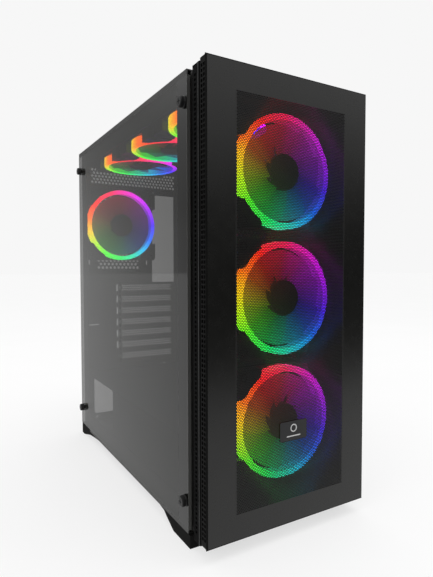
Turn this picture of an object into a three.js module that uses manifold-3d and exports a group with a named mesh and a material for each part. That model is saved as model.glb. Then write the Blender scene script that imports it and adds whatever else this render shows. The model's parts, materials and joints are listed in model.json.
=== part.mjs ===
// A mid-tower computer case with seven ring-lit fans, a smoky glass side and a perforated front.
// x runs across the tower from the glass side, y from the front panel to the rear wall, z up from the floor.
import * as THREE from 'three';
import { mergeVertices } from 'three/addons/utils/BufferGeometryUtils.js';
import Module from 'manifold-3d';

const wasm = await Module();
wasm.setup();

// Overall sizes, in millimetres.
const WIDTH = 206;
const HEIGHT = 475;
const DEPTH = 438; // front face to the rear wall's outer face
const SHEET = 1.2; // sheet steel
const GAP = 0.3; // left between pieces that touch

// Chassis planes.
const LEFT_X = -98; // outer face of the chassis beside the glass
const RIGHT_X = 100.2; // outer face of the chassis beside the steel side
const FLOOR_Z = 13.7;
const ROOF_Z = 474;
const FRONT_WALL_Y = 38.3;
const SHROUD_Z = 103.7; // top of the power supply shroud
const TRAY_X = 76;
const RAIL_HEIGHT = 25; // folded rails along the roof's sides
const RAIL_FRONT_Y = 60;
const RAIL_REAR_Y = 411;
const FLOOR_LIP_Z = 39; // top of the floor's folded lips
const RIM_X = 102.7; // rims above and below the glass stand out nearly as far as it does
const FLOOR_RIM_REAR_Y = 391;
const FLANGE = 21; // width of the front wall's folded flanges
const REAR_FLANGE = 25;

// Side panels.
const GLASS_THICK = 3.7;
const GLASS_FRONT_Y = 37.4;
const GLASS_REAR_Y = 438;
const GLASS_LOW_Z = 17.5;
const GLASS_TOP_Z = 468;
const SCREW_FRONT_Y = 43; // thumbscrew centres
const SCREW_REAR_Y = 425;
const SCREW_HIGH_Z = 443;
const SCREW_LOW_Z = 46.5;
const SIDE_SCREW_X = 95.5;
const SIDE_SCREW_ZS = { side_screw_top: 420, side_screw_bottom: 80 };
const SIDE_PANEL_LOW_Z = 17.5;
const SIDE_PANEL_FLANGE_X = 90;

// Thumbscrews.
const SCREW_RADIUS = 6;
const SCREW_LENGTH = 6;
const SHANK_RADIUS = 2;
const SHANK_HOLE = 2.5;

// Front panel and bezel.
const PANEL_LOW_Z = 15;
const PANEL_DEPTH = 10.5; // of the front panel's folded sides
const BEZEL_FRONT_Y = 15.5; // a shadow gap lies between the panel and the bezel
const BEZEL_REAR_Y = 29.3;
const BEZEL_NECK_Y = 36.5;
const BEZEL_LOW_Z = 12;
const BADGE = { width: 35, height: 20, thick: 0.8, z: 113 };

// Fans.
const FAN_SIZE = 120;
const FAN_DEPTH = 25;
const RING_OUTER = 59.5;
const RING_INNER = 53;
const RING_DEPTH = 12.7;
const BORE = 54.5;
const HUB_RADIUS = 19;
const BLADE_COUNT = 9;
const FRONT_FAN_Y = 13;
const FRONT_FAN_ZS = [381, 249.5, 118];
const ROOF_FAN_X = -17;
const ROOF_FAN_YS = [124, 248.5, 373];
const REAR_FAN_X = -36.4;
const REAR_FAN_Z = 356;
const FAN_OPENING = 56;

// Rear wall openings, in the standard board layout.
const IO_CUTOUT = { x: 28, z: 256.8, width: 44.45, height: 158.75 };
const PSU_CUTOUT = { x: -81.5, z: 28.5, width: 138, height: 70 };
const SLOT_COUNT = 7;
const SLOT_PITCH = 20.32;
const FIRST_SLOT_Z = 247.5;
const SLOT_LOW_X = -31;
const SLOT_HIGH_X = 69;
const SLOT_OPEN = 13;
const COVER = { lowX: -36, highX: 74, width: 18.4, thick: 0.9, tab: 12 };

// Feet.
const FOOT_HEIGHT = FLOOR_Z - GAP;
const FOOT_INNER_X = 70;

// Controls on the roof's front edge.
const CONTROL_Y = 53;
const POWER_X = -42;
const RESET_X = -24;
const USB_XS = [-4, 16];
const AUDIO_XS = [36, 47];
const USB_OPEN = { width: 13.2, height: 5.8, depth: 9 };

// How far pieces stand out past the case, which sets where its origin lies.
const SCREW_PROUD = SCREW_LENGTH + GAP;
const REAR_PROUD = 2 * GAP + SHEET + GAP + SCREW_LENGTH;
const BADGE_PROUD = GAP + BADGE.thick;

const HALF = WIDTH / 2;
const REAR_WALL_Y = DEPTH - SHEET;
const FLOOR_TOP = FLOOR_Z + SHEET;
const ROOF_LOW = ROOF_Z - SHEET;
const WALL_LOW_Z = FLOOR_TOP + GAP;
const WALL_HIGH_Z = ROOF_LOW - GAP;
const ROOF_FAN_Z = ROOF_LOW - GAP - FAN_DEPTH;
const REAR_FAN_Y = REAR_WALL_Y - GAP - FAN_DEPTH;

// Sides on round shapes. A full circle has twice its curve segments.
const ARC = 1;
const SMALL_ROUND = 5;
const BUTTON_ROUND = 8;
const OPENING_ROUND = 10;
const FAN_ROUND = 14;

// Materials. Each call makes a new one, so that every piece has its own.
function finish(color, roughness, metalness) {
  return new THREE.MeshStandardMaterial({ color, roughness, metalness });
}

function blackSteel() {
  return finish(0x1b1b1a, 0.45, 0.6);
}

function blackPlastic() {
  return finish(0x141414, 0.55, 0);
}

function blackMetal() {
  return finish(0x101010, 0.35, 0.8);
}

function smokyGlass() {
  const material = finish(0x24272a, 0.05, 0);
  material.transparent = true;
  material.opacity = 0.4;
  return material;
}

function diffuser(hue) {
  const material = finish(0xf0f0f0, 0.4, 0);
  material.emissive = new THREE.Color().setHSL(hue, 1, 0.5);
  return material;
}

function translucentPlastic() {
  return finish(0x3a3a40, 0.3, 0);
}

// Joins and cuts.
function toSolid(geometry) {
  const bare = geometry.clone();
  bare.deleteAttribute('normal');
  bare.deleteAttribute('uv');
  const merged = mergeVertices(bare, 1e-4);
  return new wasm.Manifold(new wasm.Mesh({
    numProp: 3,
    vertProperties: new Float32Array(merged.attributes.position.array),
    triVerts: new Uint32Array(merged.index.array),
  }));
}

function toGeometry(solid) {
  const mesh = solid.getMesh();
  const geometry = new THREE.BufferGeometry();
  geometry.setAttribute('position', new THREE.BufferAttribute(mesh.vertProperties, 3));
  geometry.setIndex(new THREE.BufferAttribute(mesh.triVerts, 1));
  geometry.computeVertexNormals();
  return geometry;
}

function join(first, ...others) {
  return toGeometry(others.reduce((sum, next) => sum.add(toSolid(next)), toSolid(first)));
}

function cut(base, ...tools) {
  return toGeometry(tools.reduce((rest, tool) => rest.subtract(toSolid(tool)), toSolid(base)));
}

// Blocks and sheets.
function block(x0, x1, y0, y1, z0, z1) {
  const geometry = new THREE.BoxGeometry(x1 - x0, y1 - y0, z1 - z0);
  return geometry.translate((x0 + x1) / 2, (y0 + y1) / 2, (z0 + z1) / 2);
}

function polygon(points) {
  return new THREE.Shape(points.map(([a, b]) => new THREE.Vector2(a, b)));
}

function rectangle(a0, a1, b0, b1) {
  return polygon([[a0, b0], [a1, b0], [a1, b1], [a0, b1]]);
}

function circle(a, b, radius) {
  const shape = new THREE.Shape();
  shape.absarc(a, b, radius, 0, 2 * Math.PI, false);
  return shape;
}

function roundedRectangle(a0, a1, b0, b1, radius) {
  const shape = new THREE.Shape();
  shape.absarc(a1 - radius, b0 + radius, radius, -Math.PI / 2, 0, false);
  shape.absarc(a1 - radius, b1 - radius, radius, 0, Math.PI / 2, false);
  shape.absarc(a0 + radius, b1 - radius, radius, Math.PI / 2, Math.PI, false);
  shape.absarc(a0 + radius, b0 + radius, radius, Math.PI, 1.5 * Math.PI, false);
  shape.closePath();
  return shape;
}

function extrude(shape, holes, depth, curveSegments) {
  shape.holes.push(...holes);
  return new THREE.ExtrudeGeometry(shape, { depth, bevelEnabled: false, curveSegments });
}

function turned(geometry, first, second, normal) {
  return geometry.applyMatrix4(new THREE.Matrix4().makeBasis(first, second, normal));
}

const X = new THREE.Vector3(1, 0, 0);
const Y = new THREE.Vector3(0, 1, 0);
const Z = new THREE.Vector3(0, 0, 1);

// A sheet whose outline is drawn in y and z, between two x planes.
function sheetAcrossX(shape, holes, x0, x1, curveSegments = ARC) {
  return turned(extrude(shape, holes, x1 - x0, curveSegments), Y, Z, X).translate(x0, 0, 0);
}

// A sheet whose outline is drawn in x and z, between two y planes.
function sheetAcrossY(shape, holes, y0, y1, curveSegments = ARC) {
  const back = Y.clone().negate();
  return turned(extrude(shape, holes, y1 - y0, curveSegments), X, Z, back).translate(0, y1, 0);
}

// A sheet whose outline is drawn in x and y, between two z planes.
function sheetAcrossZ(shape, holes, z0, z1, curveSegments = ARC) {
  return extrude(shape, holes, z1 - z0, curveSegments).translate(0, 0, z0);
}

function piece(name, geometry, material) {
  const mesh = new THREE.Mesh(geometry, material);
  mesh.name = name;
  return mesh;
}

// Chassis.
function floorPan() {
  const intake = rectangle(-60, 50, 300, 400); // under the power supply
  const outline = rectangle(LEFT_X, RIGHT_X, FRONT_WALL_Y, DEPTH);
  const pan = sheetAcrossZ(outline, [intake], FLOOR_Z, FLOOR_TOP);
  const ledge = block(-RIM_X, LEFT_X + 0.5, FRONT_WALL_Y, FLOOR_RIM_REAR_Y, FLOOR_Z, FLOOR_TOP);
  const rim = block(-RIM_X, SHEET - RIM_X, FRONT_WALL_Y, FLOOR_RIM_REAR_Y, FLOOR_Z, GLASS_LOW_Z - GAP);
  const lipLow = FLOOR_TOP - 0.5;
  const leftLip = block(LEFT_X, LEFT_X + SHEET, RAIL_FRONT_Y, RAIL_REAR_Y, lipLow, FLOOR_LIP_Z);
  const rightLip = block(RIGHT_X - SHEET, RIGHT_X, RAIL_FRONT_Y, RAIL_REAR_Y, lipLow, FLOOR_LIP_Z);
  return piece('floor_pan', join(pan, ledge, rim, leftLip, rightLip), blackSteel());
}

function slotZs() {
  return Array.from({ length: SLOT_COUNT }, (_, index) => FIRST_SLOT_Z - index * SLOT_PITCH);
}

function rearWall() {
  const io = rectangle(
    IO_CUTOUT.x, IO_CUTOUT.x + IO_CUTOUT.width, IO_CUTOUT.z, IO_CUTOUT.z + IO_CUTOUT.height,
  );
  const supply = rectangle(
    PSU_CUTOUT.x, PSU_CUTOUT.x + PSU_CUTOUT.width, PSU_CUTOUT.z, PSU_CUTOUT.z + PSU_CUTOUT.height,
  );
  const slots = slotZs().map((z) => rectangle(SLOT_LOW_X, SLOT_HIGH_X, z - SLOT_OPEN / 2, z + SLOT_OPEN / 2));
  const openings = [io, supply, ...slots].map((shape) => sheetAcrossY(shape, [], REAR_WALL_Y - 1, DEPTH + 1));
  const wall = cut(block(LEFT_X, RIGHT_X, REAR_WALL_Y, DEPTH, WALL_LOW_Z, WALL_HIGH_Z), ...openings);
  const flangeLow = REAR_WALL_Y - REAR_FLANGE;
  const flangeHigh = REAR_WALL_Y + 0.5;
  const left = block(LEFT_X, LEFT_X + SHEET, flangeLow, flangeHigh, WALL_LOW_Z, WALL_HIGH_Z);
  const right = block(RIGHT_X - SHEET, RIGHT_X, flangeLow, flangeHigh, WALL_LOW_Z, WALL_HIGH_Z);
  return piece('rear_wall', join(wall, left, right), blackSteel());
}

function roofFrame() {
  const fanHoles = ROOF_FAN_YS.map((y) => circle(ROOF_FAN_X, y, FAN_OPENING));
  const controlHole = rectangle(-53, 55, CONTROL_Y - 9.5, CONTROL_Y + 9.5);
  const outline = rectangle(LEFT_X, RIGHT_X, FRONT_WALL_Y, DEPTH);
  const sheet = sheetAcrossZ(outline, [controlHole, ...fanHoles], ROOF_LOW, ROOF_Z, OPENING_ROUND);
  const ledge = block(-RIM_X, LEFT_X + 0.5, FRONT_WALL_Y, DEPTH, ROOF_LOW, ROOF_Z);
  const rim = block(-RIM_X, SHEET - RIM_X, FRONT_WALL_Y, DEPTH, GLASS_TOP_Z + GAP, ROOF_Z);
  const railLow = ROOF_Z - RAIL_HEIGHT;
  const railHigh = ROOF_LOW + 0.5;
  const left = block(LEFT_X, LEFT_X + SHEET, RAIL_FRONT_Y, RAIL_REAR_Y, railLow, railHigh);
  const right = block(RIGHT_X - SHEET, RIGHT_X, RAIL_FRONT_Y, RAIL_REAR_Y, railLow, railHigh);
  return piece('roof_frame', join(sheet, ledge, rim, left, right), blackSteel());
}

function frontFrame() {
  const fanHoles = FRONT_FAN_ZS.map((z) => circle(0, z, FAN_OPENING));
  const outline = rectangle(LEFT_X, RIGHT_X, WALL_LOW_Z, WALL_HIGH_Z);
  const wall = sheetAcrossY(outline, fanHoles, FRONT_WALL_Y, FRONT_WALL_Y + SHEET, OPENING_ROUND);
  const flangeLow = FRONT_WALL_Y + SHEET - 0.5;
  const flangeHigh = FRONT_WALL_Y + FLANGE;
  const left = block(LEFT_X, LEFT_X + SHEET, flangeLow, flangeHigh, WALL_LOW_Z, WALL_HIGH_Z);
  const right = block(RIGHT_X - SHEET, RIGHT_X, flangeLow, flangeHigh, WALL_LOW_Z, WALL_HIGH_Z);
  return piece('front_frame', join(wall, left, right), blackSteel());
}

function motherboardTray() {
  const processorHole = roundedRectangle(235, 365, 300, 415, 8);
  const cableHoles = [150, 250, 350].map((z) => roundedRectangle(84, 116, z, z + 78, 15));
  const outline = rectangle(60, REAR_WALL_Y - GAP, SHROUD_Z + GAP, WALL_HIGH_Z);
  const tray = sheetAcrossX(outline, [processorHole, ...cableHoles], TRAY_X, TRAY_X + SHEET);
  return piece('motherboard_tray', tray, blackSteel());
}

function psuShroud() {
  const lowY = FRONT_WALL_Y + FLANGE + GAP;
  const cableHole = roundedRectangle(TRAY_X + 5, TRAY_X + 20, 200, 330, 6); // behind the tray
  const outline = rectangle(LEFT_X + 1.5, RIGHT_X - 1.5, lowY, REAR_WALL_Y - GAP);
  const top = sheetAcrossZ(outline, [cableHole], SHROUD_Z - SHEET, SHROUD_Z);
  const side = block(LEFT_X + 1.5, LEFT_X + 1.5 + SHEET, lowY, 291, WALL_LOW_Z, SHROUD_Z - SHEET + 0.5);
  return piece('psu_shroud', join(top, side), blackSteel());
}

function driveCage() {
  const bays = [[17.4, 54.5], [55.7, 94.8]].map(([z0, z1]) => rectangle(71.2, 180.8, z0, z1));
  const cage = sheetAcrossX(rectangle(70, 182, 15.4, 96), bays, -55, 60);
  return piece('drive_cage', cage, blackSteel());
}

// Side panels.
function windowScrewPlaces() {
  return {
    window_screw_front_top: [SCREW_FRONT_Y, SCREW_HIGH_Z],
    window_screw_rear_top: [SCREW_REAR_Y, SCREW_HIGH_Z],
    window_screw_front_bottom: [SCREW_FRONT_Y, SCREW_LOW_Z],
    window_screw_rear_bottom: [SCREW_REAR_Y, SCREW_LOW_Z],
  };
}

function glassPanel() {
  const outline = rectangle(GLASS_FRONT_Y, GLASS_REAR_Y, GLASS_LOW_Z, GLASS_TOP_Z);
  const holes = Object.values(windowScrewPlaces()).map(([y, z]) => circle(y, z, SHANK_HOLE));
  const pane = sheetAcrossX(outline, holes, -HALF, -HALF + GLASS_THICK, SMALL_ROUND);
  return piece('glass_panel', pane, smokyGlass());
}

function rightPanel() {
  const flangeLow = DEPTH + 2 * GAP;
  const holes = Object.values(SIDE_SCREW_ZS).map((z) => circle(SIDE_SCREW_X, z, SHANK_HOLE));
  const side = block(HALF - SHEET, HALF, GLASS_FRONT_Y, flangeLow + SHEET, SIDE_PANEL_LOW_Z, ROOF_Z);
  const outline = rectangle(SIDE_PANEL_FLANGE_X, HALF - 0.5, SIDE_PANEL_LOW_Z, ROOF_Z);
  const flange = sheetAcrossY(outline, holes, flangeLow, flangeLow + SHEET, SMALL_ROUND);
  return piece('right_panel', join(side, flange), blackSteel());
}

// A knurled screw standing along its own y axis, with its shank below the panel it clamps.
function thumbscrew(name, shank) {
  const chamfer = 0.9;
  const profile = [
    [0, -shank],
    [SHANK_RADIUS, -shank],
    [SHANK_RADIUS, 0],
    [SCREW_RADIUS - chamfer, 0],
    [SCREW_RADIUS, chamfer],
    [SCREW_RADIUS, SCREW_LENGTH - chamfer],
    [SCREW_RADIUS - chamfer, SCREW_LENGTH],
    [0, SCREW_LENGTH],
  ];
  const points = profile.map(([radius, height]) => new THREE.Vector2(radius, height));
  return piece(name, new THREE.LatheGeometry(points, 12), blackMetal());
}

function thumbscrews() {
  const group = new THREE.Group();
  for (const [name, [y, z]] of Object.entries(windowScrewPlaces())) {
    const screw = thumbscrew(name, GLASS_THICK);
    screw.rotation.z = Math.PI / 2;
    screw.position.set(-HALF - GAP, y, z);
    group.add(screw);
  }
  for (const [name, z] of Object.entries(SIDE_SCREW_ZS)) {
    const screw = thumbscrew(name, SHEET + 0.4);
    screw.position.set(SIDE_SCREW_X, DEPTH + 3 * GAP + SHEET, z);
    group.add(screw);
  }
  return group;
}

// Front panel, with its plastic bezel behind.
function frontPanel() {
  const shell = block(-HALF, HALF, 0, PANEL_DEPTH, PANEL_LOW_Z, HEIGHT);
  const inside = block(
    -HALF + SHEET, HALF - SHEET, SHEET, PANEL_DEPTH + 1, PANEL_LOW_Z + SHEET, HEIGHT - SHEET,
  );
  return piece('front_panel', cut(shell, inside), blackSteel());
}

function frontBezel() {
  const plug = block(-98, 98, SHEET + GAP, BEZEL_FRONT_Y + 0.5, 20, 470);
  const rim = block(-HALF + 1.5, HALF - 1.5, BEZEL_FRONT_Y, BEZEL_REAR_Y, BEZEL_LOW_Z, 473.5);
  const neck = block(-HALF + 6, HALF - 6, BEZEL_REAR_Y - 0.5, BEZEL_NECK_Y, 18, ROOF_Z - 2);
  const window = block(-76, 76, -1, BEZEL_NECK_Y + 1, 38, 458);
  return piece('front_bezel', cut(join(plug, rim, neck), window), blackPlastic());
}

function badgePlate() {
  const half = BADGE.width / 2;
  const outline = roundedRectangle(-half, half, BADGE.z - BADGE.height / 2, BADGE.z + BADGE.height / 2, 1.5);
  return piece('badge_plate', sheetAcrossY(outline, [], -BADGE_PROUD, -GAP), blackPlastic());
}

// Dust filters.
function topFilter() {
  const low = ROOF_Z + GAP;
  return piece('top_filter', block(-86, 86, 70, 432, low, low + 2.2), blackPlastic());
}

function psuFilter() {
  const high = FLOOR_Z - GAP;
  return piece('psu_filter', block(-64, 54, 296, DEPTH - 1, high - 3, high), blackPlastic());
}

// Controls.
function ioPanel() {
  const low = ROOF_Z + GAP;
  const high = low + 3;
  const holes = [
    circle(POWER_X, CONTROL_Y, 7.6),
    circle(RESET_X, CONTROL_Y, 3.6),
    ...USB_XS.map((x) => rectangle(x - 6.9, x + 6.9, CONTROL_Y - 3.2, CONTROL_Y + 3.2)),
    ...AUDIO_XS.map((x) => circle(x, CONTROL_Y, 3.2)),
  ];
  const plate = sheetAcrossZ(roundedRectangle(-58, 58, 41.5, 64.5, 3), [], low, high);
  const punches = holes.map((hole) => sheetAcrossZ(hole, [], low - 1, high + 1, BUTTON_ROUND));
  return piece('io_panel', cut(plate, ...punches), blackPlastic());
}

function portBlock() {
  const high = ROOF_Z;
  const body = block(-14, 53, CONTROL_Y - 7, CONTROL_Y + 7, high - 15, high);
  const sockets = USB_XS.map((x) => block(
    x - USB_OPEN.width / 2, x + USB_OPEN.width / 2,
    CONTROL_Y - USB_OPEN.height / 2, CONTROL_Y + USB_OPEN.height / 2,
    high - USB_OPEN.depth, high + 1,
  ));
  const tongues = USB_XS.map((x) => block(
    x - 5.6, x + 5.6, CONTROL_Y + 0.2, CONTROL_Y + 2.1, high - USB_OPEN.depth - 0.5, high - 1,
  ));
  return piece('port_block', join(cut(body, ...sockets), ...tongues), blackPlastic());
}

// A round button with a collar below the panel it shows through.
function button(name, x, radius, high, segments) {
  const collar = radius + 1.4;
  const low = ROOF_Z - 5;
  const neck = ROOF_Z - 1.6;
  const profile = [[0, low], [collar, low], [collar, neck], [radius, neck], [radius, high], [0, high]];
  const points = profile.map(([distance, height]) => new THREE.Vector2(distance, height));
  const mesh = piece(name, new THREE.LatheGeometry(points, segments), blackMetal());
  mesh.rotation.x = Math.PI / 2;
  mesh.position.set(x, CONTROL_Y, 0);
  return mesh;
}

// Fans. A fan stands on its intake face, with its axis along z.
function fanFrame() {
  const half = FAN_SIZE / 2;
  const cornerCut = half - 5;
  const outline = polygon([
    [half, -cornerCut],
    [half, cornerCut],
    [cornerCut, half],
    [-cornerCut, half],
    [-half, cornerCut],
    [-half, -cornerCut],
    [-cornerCut, -half],
    [cornerCut, -half],
  ]);
  const body = extrude(outline, [circle(0, 0, BORE)], FAN_DEPTH - RING_DEPTH - GAP, FAN_ROUND)
    .translate(0, 0, RING_DEPTH + GAP);
  const corner = [[half, 30], [half, cornerCut], [cornerCut, half], [30, half]];
  const arc = [60, 50, 40, 30].map((degrees) => {
    const angle = THREE.MathUtils.degToRad(degrees);
    const radius = RING_OUTER + 0.8;
    return [radius * Math.cos(angle), radius * Math.sin(angle)];
  });
  const lug = extrude(polygon([...corner, ...arc]), [], RING_DEPTH + 1, ARC);
  const lugs = [0, 1, 2, 3].map((quarter) => lug.clone().rotateZ((quarter * Math.PI) / 2));
  const mount = new THREE.CylinderGeometry(HUB_RADIUS, HUB_RADIUS, 2.6, 16).rotateX(Math.PI / 2)
    .translate(0, 0, FAN_DEPTH - 1.3);
  const strut = block(HUB_RADIUS - 4, BORE + 1, -1.6, 1.6, FAN_DEPTH - 2.6, FAN_DEPTH);
  const struts = [0.5, 1.5, 2.5, 3.5].map((quarter) => strut.clone().rotateZ((quarter * Math.PI) / 2));
  return join(body, ...lugs, mount, ...struts);
}

function lightRing() {
  return extrude(circle(0, 0, RING_OUTER), [circle(0, 0, RING_INNER)], RING_DEPTH, FAN_ROUND);
}

function rotor() {
  const hubLow = 1.5;
  const hubHigh = FAN_DEPTH - 4;
  const hub = new THREE.CylinderGeometry(HUB_RADIUS, HUB_RADIUS, hubHigh - hubLow, 18).rotateX(Math.PI / 2)
    .translate(0, 0, (hubLow + hubHigh) / 2);
  const pitch = THREE.MathUtils.degToRad(38);
  const inner = HUB_RADIUS - 2;
  const outer = RING_INNER - 2.6;
  const blade = new THREE.BoxGeometry(outer - inner, 22, 1.4).rotateX(pitch)
    .translate((inner + outer) / 2, 0, (hubLow + hubHigh) / 2);
  const blades = Array.from({ length: BLADE_COUNT }, (_, index) => (
    blade.clone().rotateZ((index * 2 * Math.PI) / BLADE_COUNT)
  ));
  return join(hub, ...blades);
}

const frameGeometry = fanFrame();
const ringGeometry = lightRing();
const rotorGeometry = rotor();

function fan(name, hue) {
  const group = new THREE.Group();
  group.add(
    piece(`${name}_frame`, frameGeometry, blackPlastic()),
    piece(`${name}_ring`, ringGeometry, diffuser(hue)),
    piece(`${name}_rotor`, rotorGeometry, translucentPlastic()),
  );
  return group;
}

function fans() {
  const group = new THREE.Group();
  ['front_fan_top', 'front_fan_middle', 'front_fan_bottom'].forEach((name, index) => {
    const one = fan(name, 0.9);
    one.rotation.x = -Math.PI / 2;
    one.position.set(0, FRONT_FAN_Y, FRONT_FAN_ZS[index]);
    group.add(one);
  });
  ['roof_fan_front', 'roof_fan_middle', 'roof_fan_rear'].forEach((name, index) => {
    const one = fan(name, 0.15);
    one.position.set(ROOF_FAN_X, ROOF_FAN_YS[index], ROOF_FAN_Z);
    group.add(one);
  });
  const rear = fan('rear_fan', 0.55);
  rear.rotation.x = -Math.PI / 2;
  rear.position.set(REAR_FAN_X, REAR_FAN_Y, REAR_FAN_Z);
  group.add(rear);
  return group;
}

// Slot covers, each a strip with a tab folded inwards at its screw end.
function slotCovers() {
  const group = new THREE.Group();
  const rear = REAR_WALL_Y - GAP;
  const front = rear - COVER.thick;
  slotZs().forEach((z, index) => {
    const outline = polygon([
      [COVER.lowX, rear],
      [COVER.lowX, rear - COVER.tab],
      [COVER.lowX + COVER.thick, rear - COVER.tab],
      [COVER.lowX + COVER.thick, front],
      [COVER.highX, front],
      [COVER.highX, rear],
    ]);
    const cover = sheetAcrossZ(outline, [], z - COVER.width / 2, z + COVER.width / 2);
    group.add(piece(`slot_cover_${index + 1}`, cover, blackSteel()));
  });
  return group;
}

// Feet. The case arches up between them, and each rear foot has an upstand beside the chassis.
function feet() {
  const group = new THREE.Group();
  const outlines = {
    front: [[34.3, 0], [73, 0], [91, 8.5], [97, 12], [108, FOOT_HEIGHT], [34.3, FOOT_HEIGHT]],
    rear: [[424, 0], [437, 0], [437, FOOT_HEIGHT], [345, FOOT_HEIGHT], [356, 12.7], [389, 8.8]],
  };
  const upstandLow = FLOOR_RIM_REAR_Y + GAP;
  const upstandHigh = GLASS_LOW_Z - GAP;
  const sides = {
    left: { x: [-RIM_X, -FOOT_INNER_X], upstand: [-RIM_X, LEFT_X - GAP] },
    right: { x: [FOOT_INNER_X, RIM_X], upstand: [RIGHT_X + GAP, RIM_X] },
  };
  for (const [side, { x, upstand }] of Object.entries(sides)) {
    const front = sheetAcrossX(polygon(outlines.front), [], ...x);
    const rear = join(
      sheetAcrossX(polygon(outlines.rear), [], ...x),
      block(...upstand, upstandLow, 437, FOOT_HEIGHT - 0.5, upstandHigh),
    );
    group.add(piece(`foot_front_${side}`, front, blackPlastic()));
    group.add(piece(`foot_rear_${side}`, rear, blackPlastic()));
  }
  return group;
}

function fanHub() {
  const low = TRAY_X + SHEET + GAP;
  const body = sheetAcrossX(roundedRectangle(140, 215, 190, 262, 4), [], low, low + 14);
  return piece('fan_hub', body, blackPlastic());
}

const tower = new THREE.Group();
tower.add(
  floorPan(),
  rearWall(),
  roofFrame(),
  frontFrame(),
  motherboardTray(),
  psuShroud(),
  driveCage(),
  glassPanel(),
  rightPanel(),
  thumbscrews(),
  frontPanel(),
  frontBezel(),
  badgePlate(),
  topFilter(),
  psuFilter(),
  ioPanel(),
  portBlock(),
  button('power_button', POWER_X, 7.2, ROOF_Z + 4, 16),
  button('reset_button', RESET_X, 3.2, ROOF_Z + 3.8, 12),
  fans(),
  slotCovers(),
  feet(),
  fanHub(),
);
tower.position.set(SCREW_PROUD / 2, (BADGE_PROUD - DEPTH - REAR_PROUD) / 2, 0);

const group = new THREE.Group();
group.add(tower);

export default group;
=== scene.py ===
# A mid-tower computer case with seven ring-lit fans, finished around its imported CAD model.
import json
import math

import bpy
from mathutils import Matrix, Vector
from mathutils.geometry import delaunay_2d_cdt


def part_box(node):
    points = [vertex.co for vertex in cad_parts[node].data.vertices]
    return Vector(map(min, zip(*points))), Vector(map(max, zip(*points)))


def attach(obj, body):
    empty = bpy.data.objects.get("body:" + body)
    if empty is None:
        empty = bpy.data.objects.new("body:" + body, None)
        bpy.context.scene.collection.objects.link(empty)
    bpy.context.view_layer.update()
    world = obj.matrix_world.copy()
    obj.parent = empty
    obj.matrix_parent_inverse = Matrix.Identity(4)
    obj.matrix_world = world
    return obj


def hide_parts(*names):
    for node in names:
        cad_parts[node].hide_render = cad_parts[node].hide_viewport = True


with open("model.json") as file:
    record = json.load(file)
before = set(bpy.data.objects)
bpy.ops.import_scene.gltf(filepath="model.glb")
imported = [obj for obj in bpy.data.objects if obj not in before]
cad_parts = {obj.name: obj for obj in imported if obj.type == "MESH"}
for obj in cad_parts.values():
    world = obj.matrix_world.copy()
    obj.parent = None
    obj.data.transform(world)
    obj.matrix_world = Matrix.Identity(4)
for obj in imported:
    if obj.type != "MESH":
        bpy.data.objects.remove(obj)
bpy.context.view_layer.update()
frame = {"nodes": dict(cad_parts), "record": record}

MM = 0.001

# Camera.
EYE = Vector((-313.25, -602.29, 279.53)) * MM
CAMERA_TURN = math.radians(30.578)
CAMERA_PITCH = math.radians(-2.286)
CAMERA_ROLL = math.radians(0.086)
CAMERA_SENSOR = 36.0
CAMERA_LENS = 29.7

# Studio. A room is what the tower mirrors, as pairs: the upward share of a ray, and the brightness.
BACKDROP = 0.93
FRONT_ROOM = [(0.0, 0.04), (0.13, 0.09), (0.36, 0.95), (0.6, 1.0)]
REAR_ROOM = [(0.0, 0.82), (0.08, 0.74), (0.3, 0.3), (0.7, 0.9)]
FLOOR_TONE = 0.3
FLOOR_GLOW = 0.66
FLOOR_REACH = 30.0  # metres from the tower to the floor's edges

# Sheet steel and its screws.
SHEET = 1.2 * MM
FRONT_SHEET = 0.8 * MM
COVER_SHEET = 0.9 * MM
BEND = 1.5 * MM
RIM_LEDGE = 4.7 * MM  # the rims beside the glass stand this far out from the chassis side
SCREW_HEAD_RADIUS = 3.4 * MM
SCREW_HEAD_HEIGHT = 1.6 * MM

# Rear wall: standard openings, and vents with a wider lattice below the fan.
IO_WIDTH = 44.45 * MM
IO_HEIGHT = 158.75 * MM
IO_ABOVE_SLOT = 9.3 * MM  # from the middle of the top slot to the foot of the I/O opening
VENT_PITCH = 6.1 * MM
VENT_HOLE = 4.1 * MM
PATCH_PITCH = 7.1 * MM
WIDE_HOLE = 4.6 * MM

# Window and thumbscrews.
PRINTED_BORDER = 21.6 * MM
# The glass's front edge strip, painted lighter as a highlight.
POLISHED_EDGE_HIGHLIGHT = 0.5 * MM
SCREW_BORE = 2.5 * MM
THUMB_LENGTH = 6 * MM
THUMB_RADIUS = 6 * MM
BARREL_RADIUS = 5.5 * MM
KNURL_TEETH = 30
KNURL_DEPTH = 0.28 * MM
THREAD_PITCH = 0.7 * MM

# Front panel.
FIELD_SIDE = 32 * MM  # from the panel's sides to its perforated field
FIELD_TOP = 27 * MM
FIELD_FOOT = 26 * MM
FIELD_PITCH = 1.84 * MM
FIELD_HOLE = 1.26 * MM  # across the flats of its hexagonal holes
FIELD_BANDS = 3
LADDER_PITCH = 4.6 * MM  # vent holes in the folded sides
LADDER_HOLE = (3.1 * MM, 3.2 * MM)
BEZEL_SIDE = 25.5 * MM  # from the bezel's sides to its window
BEZEL_TOP = 15.5 * MM
BEZEL_FOOT = 26 * MM
BEZEL_PLUG = 14 * MM  # depths of the plug that fills the panel, and of the rim behind it
BEZEL_RIM = 13.8 * MM
BEZEL_SKIN = 2 * MM
BEAD = 0.8 * MM

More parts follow.
